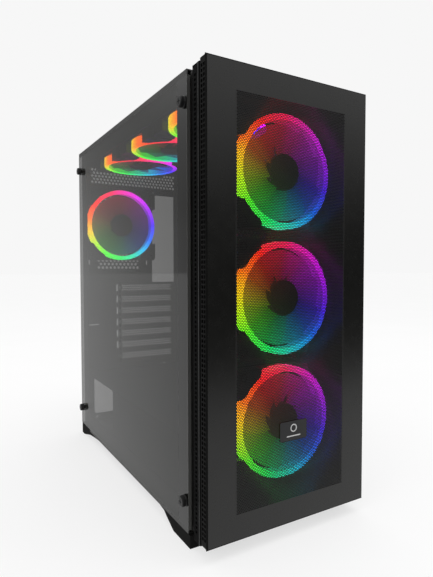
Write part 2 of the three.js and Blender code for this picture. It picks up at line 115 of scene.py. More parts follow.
# Fans, in each fan's own frame: its ring starts at height 0 and its struts are at the far end of z.
FAN_HALF = 60 * MM
FAN_DEPTH = 25 * MM
RING_OUTER = 59.5 * MM
RING_INNER = 53 * MM
RING_DEPTH = 12.7 * MM
FAN_BORE = 54.5 * MM
FAN_OPENING = 56 * MM  # radius of the chassis opening behind a fan
FAN_FLANGE = 3.6 * MM
FAN_SCREW = 52.5 * MM  # fixing holes from the axis, each way
FAN_HOLE = 2.2 * MM
HUB_RADIUS = 19 * MM
BLADE_COUNT = 9
BLADE_TIP = 50.4 * MM
BLADE_FRONT = 3 * MM
BLADE_SPAN = 52  # degrees round the hub, a little more than a share of the turn, so no gap shows

ROUND = 64  # sides on a large circle
SMALL_ROUND = 20

BODY_OF = {node: body for body, nodes in frame["record"]["behaviour"]["bodies"].items() for node in nodes}
FAN_NAMES = [node[: -len("_rotor")] for node in sorted(BODY_OF) if node.endswith("_rotor")]


class Box:
    """A CAD node's lowest and highest corners, and its middle."""

    def __init__(self, node):
        low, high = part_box(node)
        self.x0, self.y0, self.z0 = low
        self.x1, self.y1, self.z1 = high
        self.x, self.y, self.z = (low + high) / 2


class Shape:
    """The points and faces of one piece. Each face has the number of its material."""

    def __init__(self):
        self.points = []
        self.faces = []
        self.paints = []

    def add(self, points, faces, paint=0):
        first = len(self.points)
        self.points.extend(points)
        self.faces.extend([tuple(first + corner for corner in face) for face in faces])
        self.paints.extend([paint] * len(faces))


# ==== flat outlines
def rectangle(u0, u1, v0, v1):
    return [(u0, v0), (u1, v0), (u1, v1), (u0, v1)]


def polygon(u, v, radius, sides, turn=0.0):
    angles = [turn + 2 * math.pi * side / sides for side in range(sides)]
    return [(u + radius * math.cos(angle), v + radius * math.sin(angle)) for angle in angles]


def disc(u, v, radius, sides=SMALL_ROUND):
    return polygon(u, v, radius, sides)


def hexagon(u, v, across):
    return polygon(u, v, across / 2 / math.cos(math.pi / 6), 6, math.pi / 6)


def arc(u, v, radius, start, end, steps):
    angles = [math.radians(start + (end - start) * step / steps) for step in range(steps + 1)]
    return [(u + radius * math.cos(angle), v + radius * math.sin(angle)) for angle in angles]


def rounded(u0, u1, v0, v1, radius, steps=5):
    return (
        arc(u1 - radius, v0 + radius, radius, -90, 0, steps)
        + arc(u1 - radius, v1 - radius, radius, 0, 90, steps)
        + arc(u0 + radius, v1 - radius, radius, 90, 180, steps)
        + arc(u0 + radius, v0 + radius, radius, 180, 270, steps)
    )


def lattice(u0, u1, v0, v1, pitch):
    """Centres of a staggered lattice that is centred in a rectangle."""
    rise = pitch * math.sin(math.pi / 3)
    rows = int((v1 - v0) / rise) + 1
    columns = int((u1 - u0) / pitch) + 1
    v_start = (v0 + v1 - (rows - 1) * rise) / 2
    u_start = (u0 + u1 - (columns - 1) * pitch) / 2
    centres = []
    for row in range(rows):
        shift = (row % 2) * pitch / 2
        centres += [
            (u_start + shift + column * pitch, v_start + row * rise)
            for column in range(columns - row % 2)
        ]
    return centres


# ==== solids
def across_x(u, v, level):
    return (level, u, v)


def across_y(u, v, level):
    return (u, level, v)


def across_z(u, v, level):
    return (u, v, level)


def plate(shape, plane, outline, front, back, holes=(), pockets=(), floor=None, paint=0, pocket_paint=None):
    """Adds a flat plate between the levels front and back, with through holes. Pockets open at the front
    and end at the level floor."""
    loops = [outline, *holes, *pockets]
    flat = []
    numbered = []
    for loop in loops:
        numbered.append(list(range(len(flat), len(flat) + len(loop))))
        flat.extend(Vector(point) for point in loop)
    found = delaunay_2d_cdt(flat, [], numbered, 1, 1e-9)
    corners, triangles, sources = found[0], found[2], found[5]
    first_pocket = 1 + len(holes)
    top = [face for face, source in zip(triangles, sources) if source == [0]]
    sunk = [face for face, source in zip(triangles, sources) if max(source) >= first_pocket and 0 in source]
    mirrored = (plane is across_y) != (front < back)

    def oriented(faces):
        return [tuple(reversed(face)) for face in faces] if mirrored else faces

    def walls(faces, high, low):
        edges = {(face[i], face[(i + 1) % len(face)]) for face in faces for i in range(len(face))}
        rim = [edge for edge in edges if (edge[1], edge[0]) not in edges]
        used = sorted({corner for edge in rim for corner in edge})
        place = {corner: index for index, corner in enumerate(used)}
        points = [plane(*corners[corner], level) for level in (high, low) for corner in used]
        count = len(used)
        quads = [(place[a] + count, place[b] + count, place[b], place[a]) for a, b in rim]
        return points, quads

    everything = top + sunk
    under = [face[::-1] for face in everything]
    shape.add([plane(*corner, front) for corner in corners], oriented(top), paint)
    shape.add([plane(*corner, back) for corner in corners], oriented(under), paint)
    points, quads = walls(everything, front, back)
    shape.add(points, oriented(quads), paint)
    if sunk:
        sunk_paint = paint if pocket_paint is None else pocket_paint
        shape.add([plane(*corner, floor) for corner in corners], oriented(sunk), sunk_paint)
        points, quads = walls(sunk, floor, front)
        shape.add(points, oriented(quads), sunk_paint)


def block(shape, x0, x1, y0, y1, z0, z1, paint=0):
    points = [(x, y, z) for z in (z0, z1) for y in (y0, y1) for x in (x0, x1)]
    faces = [(0, 2, 3, 1), (4, 5, 7, 6), (0, 1, 5, 4), (2, 6, 7, 3), (0, 4, 6, 2), (1, 3, 7, 5)]
    shape.add(points, faces, paint)


def turned(shape, profile, steps, place=Matrix.Identity(4), paint=0, closed=False):
    """Adds a lathed form. The profile's (radius, height) pairs run upwards on the outside."""
    rings = []
    points = []
    for radius, height in profile:
        if radius == 0:
            rings.append([len(points)] * steps)
            points.append(place @ Vector((0, 0, height)))
            continue
        rings.append(list(range(len(points), len(points) + steps)))
        for step in range(steps):
            angle = 2 * math.pi * step / steps
            points.append(place @ Vector((radius * math.cos(angle), radius * math.sin(angle), height)))
    pairs = list(zip(rings, rings[1:]))
    if closed:
        pairs.append((rings[-1], rings[0]))
    faces = []
    for lower, upper in pairs:
        for step in range(steps):
            after = (step + 1) % steps
            corners = (lower[step], lower[after], upper[after], upper[step])
            faces.append(tuple(dict.fromkeys(corners)))
    shape.add(points, faces, paint)


def loft(shape, rings, paint=0, place=Matrix.Identity(4)):
    """Adds a closed form through rings of equally many points, with flat ends."""
    count = len(rings[0])
    points = [place @ Vector(point) for ring in rings for point in ring]
    faces = []
    for level in range(len(rings) - 1):
        low = level * count
        high = low + count
        for i in range(count):
            after = (i + 1) % count
            faces.append((low + i, low + after, high + after, high + i))
    faces.append(tuple(reversed(range(count))))
    faces.append(tuple(range((len(rings) - 1) * count, len(rings) * count)))
    shape.add(points, faces, paint)


# ==== pieces
def make_object(name, shape, materials, bevel=0.0, smooth=True):
    mesh = bpy.data.meshes.new(name)
    mesh.from_pydata(shape.points, [], shape.faces)
    for material in materials:
        mesh.materials.append(material)
    mesh.polygons.foreach_set("material_index", shape.paints)
    mesh.polygons.foreach_set("use_smooth", [smooth] * len(shape.faces))
    if smooth:
        mesh.set_sharp_from_angle(angle=math.radians(32))
    mesh.update()
    piece = bpy.data.objects.new(name, mesh)
    bpy.context.scene.collection.objects.link(piece)
    if bevel:
        rounding = piece.modifiers.new("rounding", "BEVEL")
        rounding.width = bevel
        rounding.segments = 2
        rounding.limit_method = "ANGLE"
        rounding.angle_limit = math.radians(50)
        rounding.harden_normals = True
    return piece


def added(name, body, shape, materials, bevel=0.0, smooth=True, place=None):
    """A piece that rides on a body, at a place of its own if it is made in its own frame."""
    piece = make_object(name, shape, materials, bevel, smooth)
    if place is not None:
        piece.matrix_world = place
    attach(piece, body)
    return piece


def finished(node, shape, materials, bevel=0.0, smooth=True, place=None):
    """A detailed piece that stands for one CAD node."""
    piece = added(f"{node}_finished", BODY_OF[node], shape, materials, bevel, smooth, place)
    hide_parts(node)


def facing(direction, position):
    """Places a form so that its own z axis points in a direction."""
    return Matrix.Translation(position) @ Vector(direction).to_track_quat("Z", "Y").to_matrix().to_4x4()


# ==== materials
def new_material(name, color=(0.5, 0.5, 0.5), roughness=0.5, metallic=0.0):
    material = bpy.data.materials.new(name)
    material.use_nodes = True
    shader = material.node_tree.nodes["Principled BSDF"]
    shader.inputs["Base Color"].default_value = (*color, 1)
    shader.inputs["Roughness"].default_value = roughness
    shader.inputs["Metallic"].default_value = metallic
    return material, shader


def add_node(material, kind, inputs=None, **settings):
    node = material.node_tree.nodes.new(kind)
    for name, value in settings.items():
        setattr(node, name, value)
    for name, value in (inputs or {}).items():
        if isinstance(value, bpy.types.NodeSocket):
            material.node_tree.links.new(value, node.inputs[name])
        else:
            node.inputs[name].default_value = value
    return node


def link(material, output, target):
    material.node_tree.links.new(output, target)


def noise(material, scale, detail=2.0, stretch=(1, 1, 1)):
    where = add_node(material, "ShaderNodeTexCoord").outputs["Object"]
    stretched = add_node(material, "ShaderNodeMapping", {"Vector": where, "Scale": stretch})
    texture = add_node(
        material, "ShaderNodeTexNoise",
        {"Vector": stretched.outputs["Vector"], "Scale": scale, "Detail": detail},
    )
    return texture.outputs["Fac"]


def colors_by(material, factor, stops):
    ramp = add_node(material, "ShaderNodeValToRGB", {"Fac": factor})
    elements = ramp.color_ramp.elements
    while len(elements) < len(stops):
        elements.new(0.5)
    for element, (position, color) in zip(elements, stops):
        element.position = position
        element.color = (*color, 1)
    return ramp.outputs["Color"]


def greys(stops):
    return [(position, (level, level, level)) for position, level in stops]


def range_of(material, factor, low, high):
    scaled = add_node(material, "ShaderNodeMapRange", {"Value": factor, "To Min": low, "To Max": high})
    return scaled.outputs["Result"]


def add_bump(material, shader, height, strength, distance):
    inputs = {"Height": height, "Strength": strength, "Distance": distance}
    bump = add_node(material, "ShaderNodeBump", inputs)
    link(material, bump.outputs["Normal"], shader.inputs["Normal"])


def coated(name, dark, light, roughness, grain, gloss):
    """Powder coat or moulded plastic: a mottled tone, uneven gloss and a fine orange-peel grain."""
    material, shader = new_material(name)
    shader.inputs["Specular IOR Level"].default_value = gloss
    mottle = noise(material, 35, 4)
    link(material, colors_by(material, mottle, [(0.3, dark), (0.7, light)]), shader.inputs["Base Color"])
    link(
        material, range_of(material, noise(material, 90, 5), roughness - 0.05, roughness + 0.06),
        shader.inputs["Roughness"],
    )
    add_bump(material, shader, noise(material, 1500, 2), grain, 0.05 * MM)
    return material


# Coats and mouldings: name, dark tone, light tone, roughness, grain and gloss.
COATS = {
    "steel": ("coated_steel", (0.018, 0.0175, 0.0165), (0.025, 0.0245, 0.023), 0.45, 0.35, 0.5),
    "front": ("front_steel", (0.0045, 0.0045, 0.0038), (0.0065, 0.0065, 0.0056), 0.26, 0.12, 0.5),
    "plastic": ("black_plastic", (0.005, 0.005, 0.005), (0.008, 0.008, 0.008), 0.65, 0.4, 0.02),
    # folded: a matt copy of the front coat for the bends and folded sides, painted shade along the folds.
    "folded": ("folded_steel_painted_shade", (0.004, 0.004, 0.004), (0.007, 0.007, 0.0065), 0.5, 0.2, 0.04),
    # edge: the bezel's beads and lip, a lighter tone that is a painted highlight on their lit edges.
    "edge": ("bezel_bead_painted_highlight", (0.02, 0.02, 0.02), (0.03, 0.03, 0.03), 0.35, 0.1, 0.5),
    "fan_plastic": ("fan_plastic", (0.01, 0.01, 0.011), (0.015, 0.015, 0.016), 0.4, 0.3, 0.3),
    "rubber": ("soft_rubber", (0.005, 0.005, 0.005), (0.009, 0.009, 0.0085), 0.75, 0.6, 0.05),
    "black_metal": ("black_metal", (0.004, 0.004, 0.004), (0.007, 0.007, 0.007), 0.3, 0.2, 0.25),
    "gloss": ("gloss_black", (0.006, 0.006, 0.007), (0.009, 0.009, 0.01), 0.12, 0.05, 0.4),
    "pane_border": ("printed_border", (0.004, 0.004, 0.0035), (0.006, 0.006, 0.005), 0.03, 0.0, 0.36),
    "hub": ("fan_hub_cap", (0.02, 0.02, 0.022), (0.03, 0.03, 0.033), 0.45, 0.2, 0.5),
}


def make_materials():
    paints = {key: coated(*values) for key, values in COATS.items()}
    paints["zinc"] = brushed("zinc_screw", (0.42, 0.42, 0.43), (0.55, 0.55, 0.56))
    paints["silver"] = brushed("badge_silver", (0.6, 0.6, 0.6), (0.75, 0.75, 0.75))
    paints["field"] = field_steel()
    paints["pane"] = smoky_pane("smoky_pane", (0.02, 0.0205, 0.0182), 0.68)
    # The polished edges: a lighter tint, a painted highlight.
    paints["pane_edge"] = smoky_pane("smoky_pane_edge", (0.1, 0.1, 0.095), 0.85)
    paints["weave"] = woven_mesh()
    paints["ring"] = ring_light("ring_light", 3.0)
    paints["ring_wall"] = ring_light("ring_wall", 1.4)
    paints["bright_ring"] = ring_light("bright_ring_light", 9.0)
    paints["bright_wall"] = ring_light("bright_ring_wall", 4.5)
    # The blades take a painted glow of the ring's light.
    paints["blade"] = smoke_plastic_painted_glow()
    return paints


def brushed(name, dark, light):
    material, shader = new_material(name, metallic=1.0)
    streaks = noise(material, 400, 3, (1, 1, 12))
    link(material, colors_by(material, streaks, [(0.3, dark), (0.7, light)]), shader.inputs["Base Color"])
    link(material, range_of(material, streaks, 0.25, 0.4), shader.inputs["Roughness"])
    add_bump(material, shader, streaks, 0.15, 0.03 * MM)
    return material


def field_steel():
    """The coat of the perforated field, with gloss and grain that vary from hole to hole."""
    material, shader = new_material("field_steel", (0.005, 0.005, 0.0045))
    link(material, range_of(material, noise(material, 600, 3), 0.36, 0.5), shader.inputs["Roughness"])
    add_bump(material, shader, noise(material, 1500, 2), 0.2, 0.05 * MM)
    return material


def smoky_pane(name, color, alpha):
    """Smoke-tinted glass, with a faint bloom of dust in its gloss."""
    material, shader = new_material(name, color, 0.02)
    shader.inputs["IOR"].default_value = 1.52
    shader.inputs["Alpha"].default_value = alpha
    link(material, range_of(material, noise(material, 14, 6), 0.01, 0.05), shader.inputs["Roughness"])
    return material


def woven_mesh():
    """Fine dust mesh: threads that cross at right angles."""
    material, shader = new_material("filter_mesh")
    where = add_node(material, "ShaderNodeTexCoord").outputs["Object"]
    threads = [
        add_node(
            material, "ShaderNodeTexWave", {"Vector": where, "Scale": 250.0},
            wave_type="BANDS", bands_direction=direction, wave_profile="SIN",
        ).outputs["Fac"]
        for direction in ("X", "Y")
    ]
    crossed = add_node(material, "ShaderNodeMath", operation="MAXIMUM")
    link(material, threads[0], crossed.inputs[0])
    link(material, threads[1], crossed.inputs[1])
    height = crossed.outputs["Value"]
    stops = greys([(0.35, 0.003), (0.8, 0.035)])
    link(material, colors_by(material, height, stops), shader.inputs["Base Color"])
    link(material, range_of(material, height, 0.8, 0.45), shader.inputs["Roughness"])
    add_bump(material, shader, height, 0.6, 0.2 * MM)
    return material


def around_fan(material):
    """The share of a turn round a fan's axis, from the fan's own -y side towards its x side."""
    where = add_node(material, "ShaderNodeTexCoord").outputs["Object"]
    split = add_node(material, "ShaderNodeSeparateXYZ", {"Vector": where})
    down = add_node(material, "ShaderNodeMath", operation="MULTIPLY")
    link(material, split.outputs["Y"], down.inputs[0])
    down.inputs[1].default_value = -1
    angle = add_node(material, "ShaderNodeMath", operation="ARCTAN2")
    link(material, split.outputs["X"], angle.inputs[0])
    link(material, down.outputs["Value"], angle.inputs[1])
    share = add_node(material, "ShaderNodeMath", operation="DIVIDE")
    link(material, angle.outputs["Value"], share.inputs[0])
    share.inputs[1].default_value = 2 * math.pi
    whole = add_node(material, "ShaderNodeMath", operation="FRACT")
    link(material, share.outputs["Value"], whole.inputs[0])
    return whole.outputs["Value"]


# The light runs round each ring through the rainbow, from red at the fan's own -y side.
RAINBOW = [
    (0.0, (1.0, 0.0, 0.1)),
    (0.06, (1.0, 0.0, 0.42)),
    (0.14, (0.8, 0.0, 0.95)),
    (0.22, (0.4, 0.0, 1.0)),
    (0.3, (0.07, 0.01, 1.0)),
    (0.38, (0.0, 0.16, 1.0)),
    (0.44, (0.0, 0.5, 0.9)),
    (0.5, (0.0, 0.75, 0.45)),
    (0.57, (0.0, 0.85, 0.1)),
    (0.65, (0.08, 0.9, 0.01)),
    (0.71, (0.45, 0.85, 0.0)),
    (0.77, (0.95, 0.6, 0.0)),
    (0.83, (1.0, 0.16, 0.0)),
    (0.9, (1.0, 0.01, 0.0)),
    (1.0, (1.0, 0.0, 0.1)),
]


def ring_light(name, strength):
    """A milky diffuser lit from inside by a row of coloured diodes."""
    material, shader = new_material(name, (0.15, 0.15, 0.15), 0.4)
    shader.inputs["Emission Strength"].default_value = strength
    link(material, colors_by(material, around_fan(material), RAINBOW), shader.inputs["Emission Color"])
    link(material, range_of(material, noise(material, 300, 3), 0.35, 0.5), shader.inputs["Roughness"])
    return material


def smoke_plastic_painted_glow():
    """Frosted, smoke-tinted blades, with the ring's light painted on them as a glow in their emission,
    strongest at their tips.
    """
    material, shader = new_material("smoke_plastic_painted_glow")
    shader.inputs["Alpha"].default_value = 0.8
    # The blades are no lamp: this emission is a painted glow that stands in for the ring's light.
    shader.inputs["Emission Strength"].default_value = 0.95
    frost = noise(material, 500, 3)
    stops = [(0.3, (0.04, 0.04, 0.045)), (0.7, (0.06, 0.06, 0.065))]
    link(material, colors_by(material, frost, stops), shader.inputs["Base Color"])
    link(material, range_of(material, frost, 0.3, 0.45), shader.inputs["Roughness"])
    # Painted glow: the ring's rainbow, fading from the tips towards the hub.
    where = add_node(material, "ShaderNodeTexCoord").outputs["Object"]
    flat = add_node(material, "ShaderNodeMapping", {"Vector": where, "Scale": (1, 1, 0)})
    reach = add_node(material, "ShaderNodeVectorMath", {"Vector": flat.outputs["Vector"]}, operation="LENGTH")
    span = {"From Min": HUB_RADIUS, "From Max": BLADE_TIP, "To Min": 0.3, "To Max": 1.0}
    fade = add_node(material, "ShaderNodeMapRange", {"Value": reach.outputs["Value"], **span})
    painted_glow = add_node(material, "ShaderNodeVectorMath", operation="SCALE")
    link(material, colors_by(material, around_fan(material), RAINBOW), painted_glow.inputs["Vector"])
    link(material, fade.outputs["Result"], painted_glow.inputs["Scale"])
    link(material, painted_glow.outputs["Vector"], shader.inputs["Emission Color"])
    return material


# ==== camera, floor and light
def make_camera():
    data = bpy.data.cameras.new("camera")
    data.sensor_width = CAMERA_SENSOR
    data.lens = CAMERA_LENS
    data.clip_start = 0.01
    camera = bpy.data.objects.new("camera", data)
    bpy.context.scene.collection.objects.link(camera)
    camera.location = EYE
    turn = Matrix.Rotation(-CAMERA_TURN, 4, "Z")
    tilt = Matrix.Rotation(math.pi / 2 + CAMERA_PITCH, 4, "X")
    roll = Matrix.Rotation(-CAMERA_ROLL, 4, "Z")
    camera.matrix_world = Matrix.Translation(EYE) @ turn @ tilt @ roll
    bpy.context.scene.camera = camera


def make_world():
    """A pale backdrop. What the tower mirrors is dimmer: a dark room in front and a pale wall behind."""
    world = bpy.data.worlds.new("studio")
    bpy.context.scene.world = world
    bpy.context.scene.view_settings.view_transform = "Standard"
    world.use_nodes = True
    where = add_node(world, "ShaderNodeTexCoord").outputs["Generated"]
    split = add_node(world, "ShaderNodeSeparateXYZ", {"Vector": where})
    front = colors_by(world, split.outputs["Z"], greys(FRONT_ROOM))
    rear = colors_by(world, split.outputs["Z"], greys(REAR_ROOM))
    span = {"From Min": 0.78, "From Max": 0.98}
    behind = add_node(world, "ShaderNodeMapRange", {"Value": split.outputs["Y"], **span})
    room = add_node(
        world, "ShaderNodeMix", {"Factor": behind.outputs["Result"], "A": front, "B": rear}, data_type="RGBA",
    )
    mirrored = add_node(world, "ShaderNodeBackground", {"Color": room.outputs["Result"]})
    backdrop = world.node_tree.nodes["Background"]
    backdrop.inputs["Color"].default_value = (BACKDROP, BACKDROP, BACKDROP, 1)
    either = for_camera(world, mirrored.outputs["Background"], backdrop.outputs["Background"])
    link(world, either, world.node_tree.nodes["World Output"].inputs["Surface"])


def for_camera(owner, mirrored, seen):
    """Chooses between what reflections and light find and what the eye sees directly."""
    direct = add_node(owner, "ShaderNodeLightPath").outputs["Is Camera Ray"]
    either = add_node(owner, "ShaderNodeMixShader", {"Fac": direct, 1: mirrored, 2: seen})
    return either.outputs["Shader"]


def make_floor():
    """A pale floor. In the tower's own reflections it fades to a dark room a metre in front."""
    material, shader = new_material("pale_floor", roughness=0.9)
    shader.inputs["Specular IOR Level"].default_value = 0.0
    shader.inputs["Emission Color"].default_value = (1, 1, 1, 1)
    shader.inputs["Emission Strength"].default_value = FLOOR_GLOW
    stops = greys([(0.3, FLOOR_TONE), (0.7, FLOOR_TONE + 0.01)])
    link(material, colors_by(material, noise(material, 3, 3), stops), shader.inputs["Base Color"])
    where = add_node(material, "ShaderNodeTexCoord").outputs["Object"]
    depth = add_node(material, "ShaderNodeSeparateXYZ", {"Vector": where}).outputs["Y"]
    span = {"From Min": -0.95, "From Max": -0.6, "To Min": 0.05, "To Max": 0.8}
    near = add_node(material, "ShaderNodeMapRange", {"Value": depth, **span})
    mirrored = add_node(material, "ShaderNodeEmission", {"Strength": near.outputs["Result"]})
    either = for_camera(material, mirrored.outputs["Emission"], shader.outputs["BSDF"])
    link(material, either, material.node_tree.nodes["Material Output"].inputs["Surface"])
    shape = Shape()
    corners = rectangle(-FLOOR_REACH, FLOOR_REACH, -FLOOR_REACH, FLOOR_REACH)
    shape.add([(x, y, 0) for x, y in corners], [(0, 1, 2, 3)])
    make_object("floor", shape, [material])


def make_lamp(name, position, target, size, power):
    data = bpy.data.lights.new(name, "AREA")
    data.shape = "RECTANGLE"
    data.size, data.size_y = size
    data.energy = power
    lamp = bpy.data.objects.new(name, data)
    bpy.context.scene.collection.objects.link(lamp)
    direction = Vector(target) - Vector(position)
    lamp.matrix_world = Matrix.Translation(position) @ direction.to_track_quat("-Z", "Y").to_matrix().to_4x4()


def make_lights():
    make_lamp("softbox_above", (0.3, -0.6, 2.2), (0, 0, 0.2), (1.6, 1.6), 12)
    make_lamp("softbox_left", (-2.0, -0.6, 1.2), (0, 0, 0.25), (1.4, 1.4), 6)


# ==== front
def ladder(box, margin):
    """Heights of a column of side vents, centred on a box."""
    count = int((box.z1 - box.z0 - margin) / LADDER_PITCH)
    first = (box.z0 + box.z1 - (count - 1) * LADDER_PITCH) / 2
    return [first + step * LADDER_PITCH for step in range(count)]


def front_panel(paints):
    """One steel sheet: a plain border round a perforated field, folded back on all four sides."""
    box = Box("front_panel")
    shape = Shape()
    t = FRONT_SHEET
    field = (box.x0 + FIELD_SIDE, box.x1 - FIELD_SIDE, box.z0 + FIELD_FOOT, box.z1 - FIELD_TOP)
    face = rectangle(box.x0 + BEND, box.x1 - BEND, box.z0 + BEND, box.z1 - BEND)
    plate(shape, across_y, face, box.y0, box.y0 + t, [rectangle(*field)])
    # The bend, as loops from the face round to the folded sides and back inside.
    loops = []
    for inset, depth in arc(BEND, BEND, BEND, 270, 180, 5) + arc(BEND, BEND, BEND - t, 180, 270, 5):
        corners = rectangle(box.x0 + inset, box.x1 - inset, box.z0 + inset, box.z1 - inset)
        loops.append([(u, box.y0 + depth, v) for u, v in corners])
    points = [point for loop in loops for point in loop]
    faces = []
    for level in range(len(loops)):
        after = (level + 1) % len(loops)
        for i in range(4):
            j = (i + 1) % 4
            faces.append((level * 4 + i, level * 4 + j, after * 4 + j, after * 4 + i))
    shape.add(points, faces)
    side = rectangle(box.y0 + BEND, box.y1, box.z0 + BEND, box.z1 - BEND)
    wide, tall = LADDER_HOLE
    vents = [
        rectangle(y - wide / 2, y + wide / 2, z - tall / 2, z + tall / 2)
        for z in ladder(box, 10 * MM)
        for y in (box.y0 + 3.2 * MM, box.y0 + 7.6 * MM)
    ]
    plate(shape, across_x, side, box.x0, box.x0 + t, vents)
    plate(shape, across_x, side, box.x1, box.x1 - t, vents)
    edge = rectangle(box.x0 + BEND, box.x1 - BEND, box.y0 + BEND, box.y1)
    plate(shape, across_z, edge, box.z0, box.z0 + t)
    plate(shape, across_z, edge, box.z1, box.z1 - t)
    # The bends, folded sides and edges take the matt copy of the coat: painted shade along the folds.
    paint_edges(shape, 1, 1)
    finished("front_panel", shape, [paints["front"], paints["folded"]])
    perforated_field(paints, box, field)


def perforated_field(paints, box, field):
    """The sheet's hexagonal perforation, as bands that meet between two rows of holes."""
    x0, x1, z0, z1 = field
    margin = 1.1 * MM
    centres = lattice(x0 + margin, x1 - margin, z0 + margin, z1 - margin, FIELD_PITCH)
    rise = FIELD_PITCH * math.sin(math.pi / 3)
    row_heights = sorted({z for _, z in centres})
    per_band = math.ceil(len(row_heights) / FIELD_BANDS)
    low = z0
    for band in range(FIELD_BANDS):
        chosen = set(row_heights[band * per_band:(band + 1) * per_band])
        high = z1 if band == FIELD_BANDS - 1 else max(chosen) + rise / 2
        holes = [hexagon(x, z, FIELD_HOLE) for x, z in centres if z in chosen]
        shape = Shape()
        plate(shape, across_y, rectangle(x0, x1, low, high), box.y0, box.y0 + FRONT_SHEET, holes)
        added(f"front_field_{band + 1}", "front", shape, [paints["field"]], smooth=False)
        low = high


def front_bezel(paints):
    """A plastic frame: a plug behind the front panel, a vented rim and a neck before the chassis."""
    box = Box("front_bezel")
    shape = Shape()
    window = rectangle(box.x0 + BEZEL_SIDE, box.x1 - BEZEL_SIDE, box.z0 + BEZEL_FOOT, box.z1 - BEZEL_TOP)
    plug = rectangle(box.x0 + 3.5 * MM, box.x1 - 3.5 * MM, box.z0 + 8 * MM, box.z1 - 3.5 * MM)
    inner = rectangle(box.x0 + BEZEL_SKIN, box.x1 - BEZEL_SKIN, box.z0, box.z1)
    neck = rectangle(box.x0 + 4.5 * MM, box.x1 - 4.5 * MM, box.z0 + 6 * MM, box.z1 - 1.5 * MM)
    rim_front = box.y0 + BEZEL_PLUG
    rim_back = rim_front + BEZEL_RIM
    plate(shape, across_y, plug, box.y0, rim_front, [window])
    plate(shape, across_y, inner, rim_front, rim_back, [window])
    hole_front = rim_front + 7 * MM
    vents = [
        rectangle(hole_front, hole_front + 3.4 * MM, z - 1.4 * MM, z + 1.4 * MM)
        for z in ladder(box, 12 * MM)
    ]
    side = rectangle(rim_front, rim_back, box.z0, box.z1)
    inset = 0.5 * MM
    vent_depth = 1.8 * MM
    bead_front = rim_front + 2 * BEAD
    for outer, inward in ((box.x0, 1), (box.x1, -1)):
        face = outer + inset * inward
        floor = outer + vent_depth * inward
        plate(shape, across_x, side, face, outer + BEZEL_SKIN * inward, pockets=vents, floor=floor)
        low, high = sorted((outer, face))
        # A bead down the rim, painted lighter as a highlight.
        block(shape, low, high, bead_front, bead_front + BEAD, box.z0, box.z1, 1)
    lip = box.z0 - 0.1 * MM
    # The lip along the foot, painted lighter as a highlight too.
    block(shape, box.x0 + inset, box.x1 - inset, rim_front + BEAD, rim_back, lip, box.z0, 1)
    plate(shape, across_y, neck, rim_back, box.y1, [window])
    finished("front_bezel", shape, [paints["plastic"], paints["edge"]], bevel=0.2 * MM)


def badge(paints):
    """A plain plate. Its mark is only a ring over a bar."""
    box = Box("badge_plate")
    shape = Shape()
    plate(shape, across_y, rounded(box.x0, box.x1, box.z0, box.z1, 1.5 * MM), box.y0 + 0.25 * MM, box.y1)
    ring_z = box.z + 2.6 * MM
    front = box.y0
    back = box.y0 + 0.26 * MM
    plate(shape, across_y, disc(box.x, ring_z, 4.2 * MM, 36), front, back,
          [disc(box.x, ring_z, 3.0 * MM, 36)], paint=1)
    bar = rounded(box.x - 9 * MM, box.x + 9 * MM, box.z - 6.2 * MM, box.z - 5.0 * MM, 0.55 * MM)
    plate(shape, across_y, bar, front, back, paint=1)
    finished("badge_plate", shape, [paints["gloss"], paints["silver"]], bevel=0.12 * MM)


# ==== side panels and thumbscrews
def glass_panel(paints):
    """A smoky pane with polished edges, painted lighter as a highlight. A printed border along its front
    hides the chassis flange.
    """
    box = Box("glass_panel")
    screws = [Box(node) for node in window_screws()]
    border = box.y0 + PRINTED_BORDER
    front = box.y0 + POLISHED_EDGE_HIGHLIGHT
    shape = Shape()
    for y0, y1, paint in ((front, border, 2), (border, box.y1, 0)):
        holes = [disc(screw.y, screw.z, SCREW_BORE) for screw in screws if y0 < screw.y < y1]
        plate(shape, across_x, rectangle(y0, y1, box.z0, box.z1), box.x0, box.x1, holes, paint=paint)
    # The top and bottom edges are polished too, and painted lighter as a highlight.
    for index, face in enumerate(shape.faces):
        heights = {round(shape.points[corner][2], 6) for corner in face}
        if len(heights) == 1:
            shape.paints[index] = 1
    # The front edge: a thin strip painted lighter as a highlight.
    block(shape, box.x0, box.x1, box.y0, front, box.z0, box.z1, 1)
    glass = [paints["pane"], paints["pane_edge"], paints["pane_border"]]
    finished("glass_panel", shape, glass, smooth=False)


def paint_edges(shape, axis, paint):
    """Gives another material to the faces that don't face along an axis."""
    for index, face in enumerate(shape.faces):
        levels = {round(shape.points[corner][axis], 6) for corner in face}
        if len(levels) > 1:
            shape.paints[index] = paint


def window_screws():
    return [node for node in sorted(BODY_OF) if node.startswith("window_screw")]


def side_screws():
    return [node for node in sorted(BODY_OF) if node.startswith("side_screw")]


def thumbscrew(node, outward, paints):
    """A flanged, knurled head with a cross recess, and its threaded shank."""
    box = Box(node)
    if outward == "x":
        base = Vector((box.x0 + THUMB_LENGTH, box.y, box.z))
        place = facing((-1, 0, 0), base)
        shank = box.x1 - base.x
    else:
        base = Vector((box.x, box.y1 - THUMB_LENGTH, box.z))
        place = facing((0, 1, 0), base)
        shank = base.y - box.y0
    shape = Shape()
    loft(shape, knurled_rings())
    cap = disc(0, 0, BARREL_RADIUS - 0.9 * MM, 40)
    cross = cross_outline(2.6 * MM, 0.55 * MM)
    low = THUMB_LENGTH - 0.1 * MM
    floor = THUMB_LENGTH - 0.09 * MM
    plate(shape, across_z, cap, THUMB_LENGTH, low, pockets=[cross], floor=floor, pocket_paint=1)
    turned(shape, thread_profile(shank), 16)
    finished(node, shape, [paints["black_metal"], paints["plastic"]], place=place)


